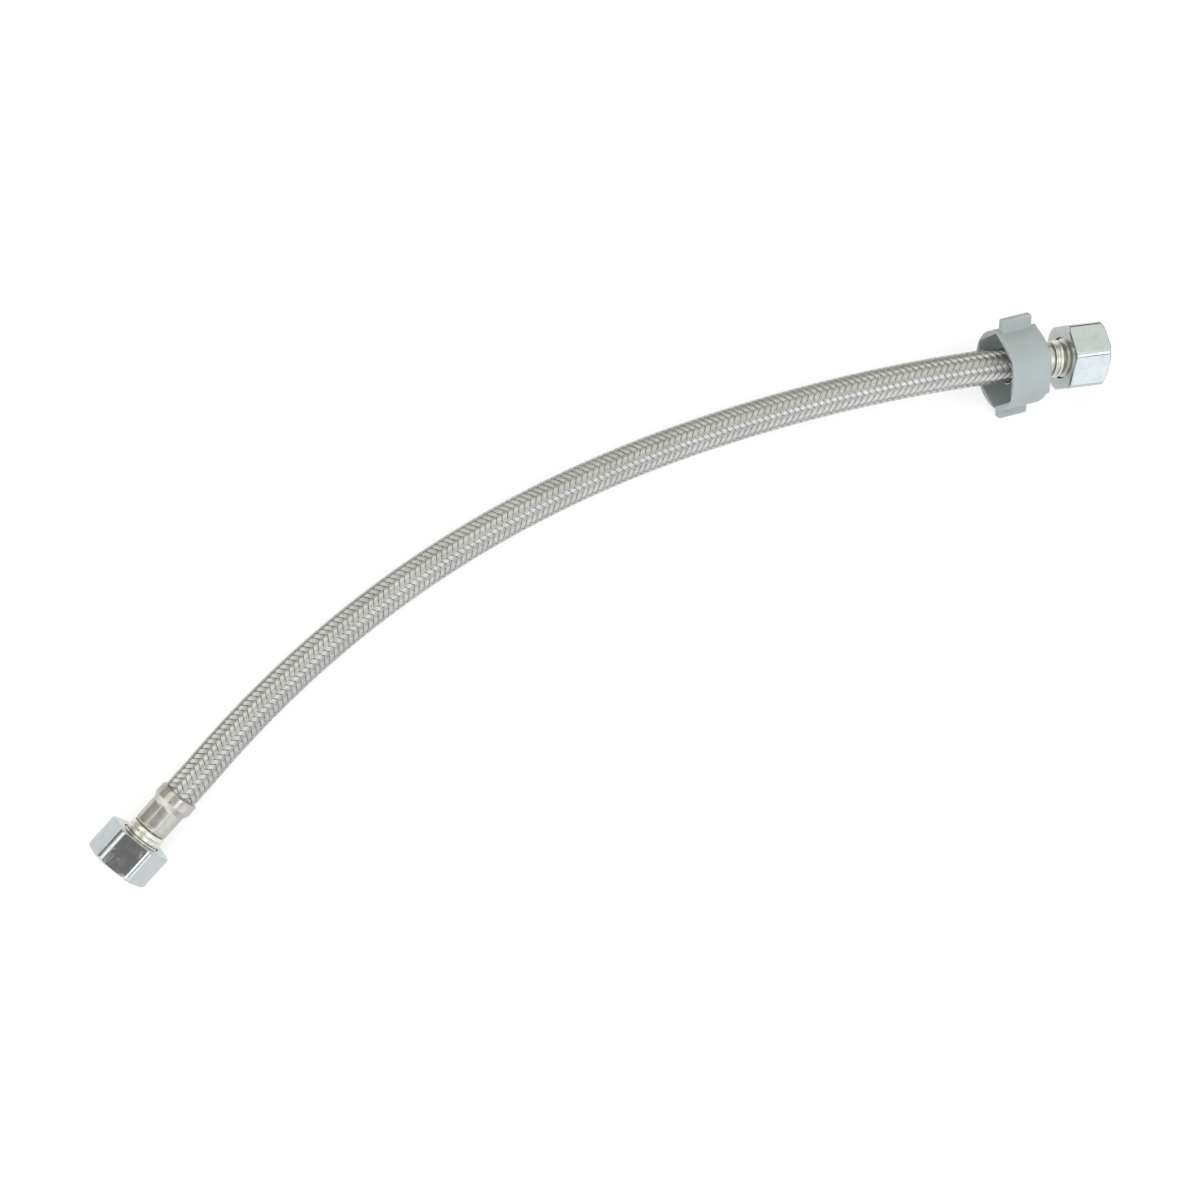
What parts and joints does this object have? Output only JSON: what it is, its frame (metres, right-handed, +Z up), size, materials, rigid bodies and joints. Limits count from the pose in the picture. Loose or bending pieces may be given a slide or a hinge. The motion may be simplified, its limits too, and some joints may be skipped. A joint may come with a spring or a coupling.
{
  "type": "braided flexible water connector",
  "caption": "Flexible water hose with a woven steel cover, crimped end ferrules, swivelling hexagon nuts and a winged hand-tightening sleeve, lying in a shallow arc.",
  "frame": {"origin": "on the surface the connector lies on, under the middle of the box of the end fittings and the sleeve", "axes": "+Z up from the surface; +X along the chord from the plain left nut to the right nut with the winged sleeve; +Y to the side the arc bulges"},
  "size_m": [0.4362, 0.0684, 0.0312],
  "materials": {
    "braid_wire": "woven bright stainless wire",
    "ferrule_steel": "pressed bright steel, faint warm tone",
    "nut_chrome": "polished plating",
    "nipple_brass": "turned brass with bright plating",
    "tube_rubber": "black rubber",
    "washer_rubber": "black rubber",
    "sleeve_plastic": "moulded grey plastic, satin"
  },
  "bodies": {
    "hose": {"steel_braid": "braid_wire", "inner_tube": "tube_rubber", "left_ferrule": "ferrule_steel", "right_ferrule": "ferrule_steel", "left_nipple": "nipple_brass", "right_nipple": "nipple_brass", "left_washer": "washer_rubber", "right_washer": "washer_rubber"},
    "left_nut": {"left_nut": "nut_chrome"},
    "right_nut": {"right_nut": "nut_chrome"},
    "wing_sleeve": {"wing_sleeve": "sleeve_plastic"}
  },
  "joints": [
    {"name": "left_nut_turn", "type": "hinge", "parent": "hose", "child": "left_nut", "pos_m": [-0.20708, -0.00548, 0.01327], "axis": [-0.9246, -0.3637, 0.1132], "continuous": true},
    {"name": "right_nut_turn", "type": "hinge", "parent": "hose", "child": "right_nut", "pos_m": [0.20741, -0.00538, 0.0156], "axis": [0.9385, -0.3454, 0], "continuous": true},
    {"name": "sleeve_slide", "type": "slide", "parent": "right_nut", "child": "wing_sleeve", "axis": [0.9517, -0.307, 0], "range_m": [-0.012, 0.019]}
  ]
}
